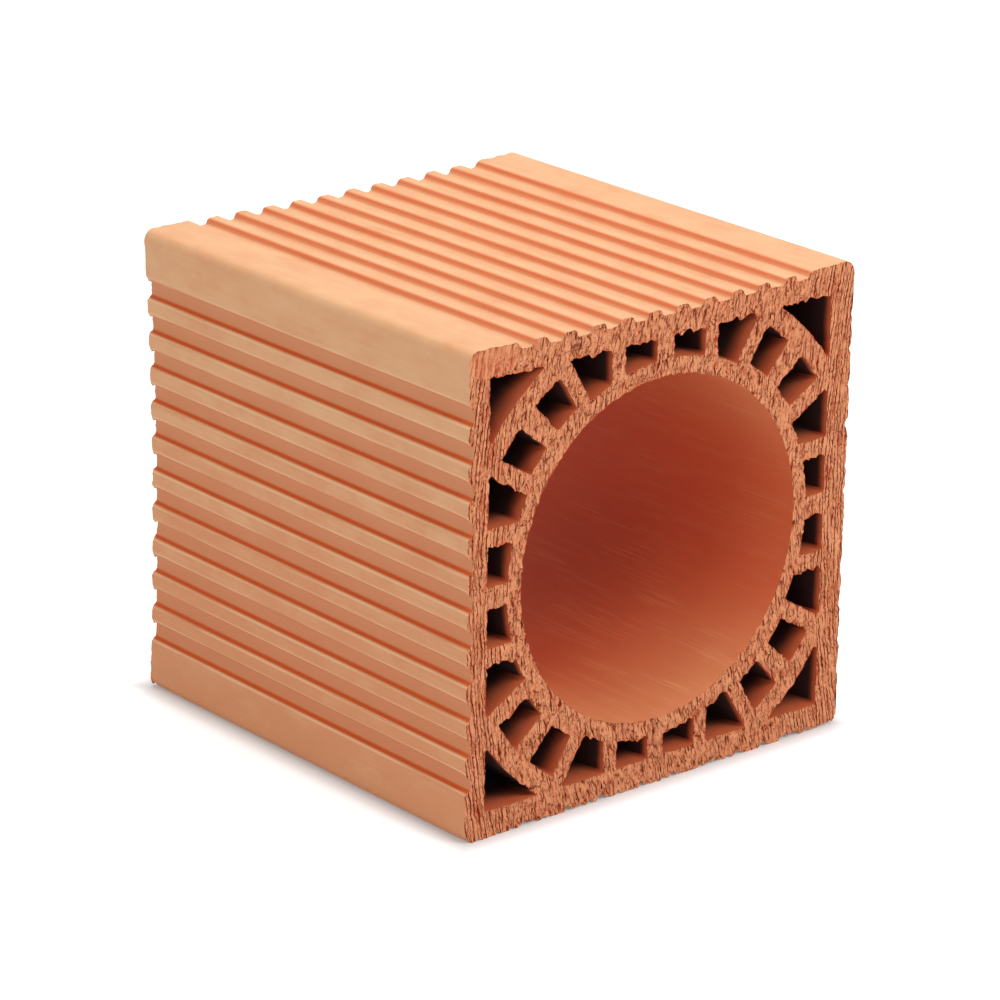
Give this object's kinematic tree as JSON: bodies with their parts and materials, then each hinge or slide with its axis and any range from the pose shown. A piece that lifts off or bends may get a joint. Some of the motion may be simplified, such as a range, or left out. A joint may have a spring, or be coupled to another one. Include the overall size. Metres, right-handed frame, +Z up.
{
  "type": "ventilation chimney block",
  "caption": "Square fired clay chimney block with a round ventilation flue, a ring of small air cells, larger corner cells and mortar ribs on all four sides.",
  "frame": {"origin": "middle of the underside, on the surface that the block rests on, half way along its length and below the flue's axis", "axes": "+Y along the flue from one cut face to the other, +X across the section, +Z up as the block lies on a ribbed side; built into a stack it is turned so that Y stands upright"},
  "size_m": [0.25, 0.26, 0.25],
  "materials": {
    "fired_clay": "matt unglazed terracotta, smooth along the extruded sides and torn by the wire on the two cut faces"
  },
  "bodies": {
    "root": {"chimney_block": "fired_clay"}
  },
  "joints": []
}
